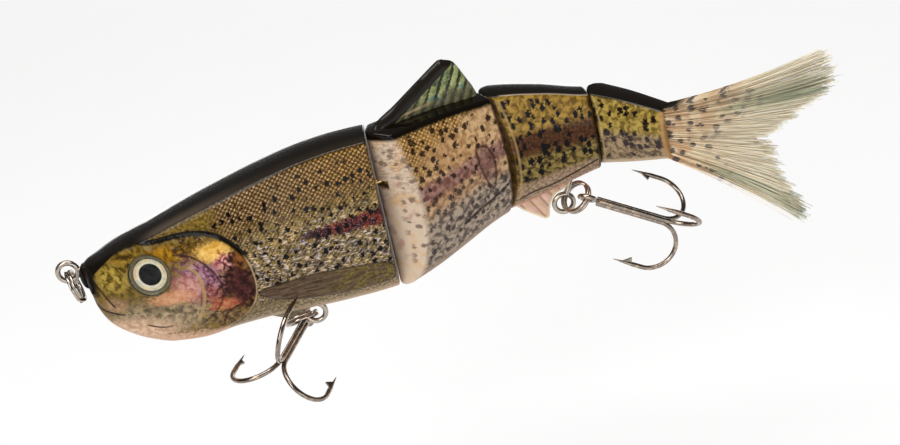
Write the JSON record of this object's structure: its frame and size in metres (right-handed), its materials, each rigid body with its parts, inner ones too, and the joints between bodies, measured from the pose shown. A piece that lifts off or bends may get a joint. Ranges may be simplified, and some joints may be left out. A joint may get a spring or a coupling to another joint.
{
  "type": "swimbait",
  "caption": "Jointed hard-bodied fish lure with pinned hollow sections, plate fins, a brush tail, wire line tie and belly hangers, split rings and treble hooks.",
  "frame": {"origin": "centre of the line-tie eye at the nose", "axes": "+X along the front section towards the tail, +Z towards the back of the fish, left flank faces -Y"},
  "size_m": [0.1619, 0.0442, 0.0596],
  "materials": {
    "painted_plastic": "printed trout pattern under clear gloss",
    "fin_plastic": "printed and clear coated",
    "iris_foil": "pearl foil with a black pupil",
    "clear_lens": "clear cast resin dome",
    "lead": "dull cast lead",
    "stainless_pin": "drawn stainless wire",
    "brass_eye": "bright brass wire",
    "brush_fibre": "translucent nylon bristle",
    "plug_plastic": "moulded",
    "split_ring_steel": "bright nickel",
    "hook_steel": "black nickel",
    "nickel_wire": "black nickel"
  },
  "bodies": {
    "front_section": {"front_shell_left": "painted_plastic", "front_shell_right": "painted_plastic", "line_tie_wire": "nickel_wire", "front_hanger_wire": "nickel_wire", "eye_iris_left": "iris_foil", "eye_iris_right": "iris_foil", "eye_dome_left": "clear_lens", "eye_dome_right": "clear_lens", "front_belly_weight": "lead", "joint_1_eye": "brass_eye"},
    "second_section": {"second_shell_left": "painted_plastic", "second_shell_right": "painted_plastic", "hinge_pin_1": "stainless_pin", "dorsal_fin": "fin_plastic", "second_belly_weight": "lead", "joint_2_eye": "brass_eye"},
    "third_section": {"third_shell_left": "painted_plastic", "third_shell_right": "painted_plastic", "hinge_pin_2": "stainless_pin", "anal_fin": "fin_plastic", "third_belly_weight": "lead", "rear_hanger_wire": "nickel_wire", "joint_3_eye": "brass_eye"},
    "tail_section": {"tail_shell_left": "painted_plastic", "tail_shell_right": "painted_plastic", "hinge_pin_3": "stainless_pin", "tail_brush_plug": "plug_plastic", "tail_brush": "brush_fibre"},
    "line_tie_ring": {"line_tie_split_ring": "split_ring_steel"},
    "front_ring": {"front_split_ring": "split_ring_steel"},
    "front_treble": {"front_treble_double_hook": "hook_steel", "front_treble_single_hook": "hook_steel"},
    "rear_ring": {"rear_split_ring": "split_ring_steel"},
    "rear_treble": {"rear_treble_double_hook": "hook_steel", "rear_treble_single_hook": "hook_steel"}
  },
  "joints": [
    {"name": "joint_1_yaw", "type": "hinge", "parent": "front_section", "child": "second_section", "pos_m": [0.0692, 0, 0], "axis": [0, 0, 1], "range_deg": [-60, 2]},
    {"name": "joint_2_yaw", "type": "hinge", "parent": "second_section", "child": "third_section", "pos_m": [0.09334, 0.01338, 0], "axis": [0, 0, 1], "range_deg": [-12, 60]},
    {"name": "joint_3_yaw", "type": "hinge", "parent": "third_section", "child": "tail_section", "pos_m": [0.11565, 0.01533, 0], "axis": [0, 0, 1], "range_deg": [-1, 83]},
    {"name": "line_tie_ring_swing", "type": "hinge", "parent": "front_section", "child": "line_tie_ring", "pos_m": [0, 0, 0], "axis": [0, 1, 0], "range_deg": [0, 230]},
    {"name": "front_ring_swing", "type": "hinge", "parent": "front_section", "child": "front_ring", "pos_m": [0.0475, 0, -0.02115], "axis": [0, 1, 0], "range_deg": [-130, 0]},
    {"name": "front_treble_swing", "type": "hinge", "parent": "front_ring", "child": "front_treble", "pos_m": [0.0452, 0.00286, -0.02338], "axis": [0.9136, -0.2731, 0.3013], "range_deg": [-3, 120]},
    {"name": "rear_ring_swing", "type": "hinge", "parent": "third_section", "child": "rear_ring", "pos_m": [0.1036, 0.01428, -0.0154], "axis": [-0.0872, 0.9962, 0], "range_deg": [-8, 120]},
    {"name": "rear_treble_swing", "type": "hinge", "parent": "rear_ring", "child": "rear_treble", "pos_m": [0.10853, 0.01053, -0.01364], "axis": [-0.4106, -0.552, -0.7257], "range_deg": [-50, 40]}
  ]
}
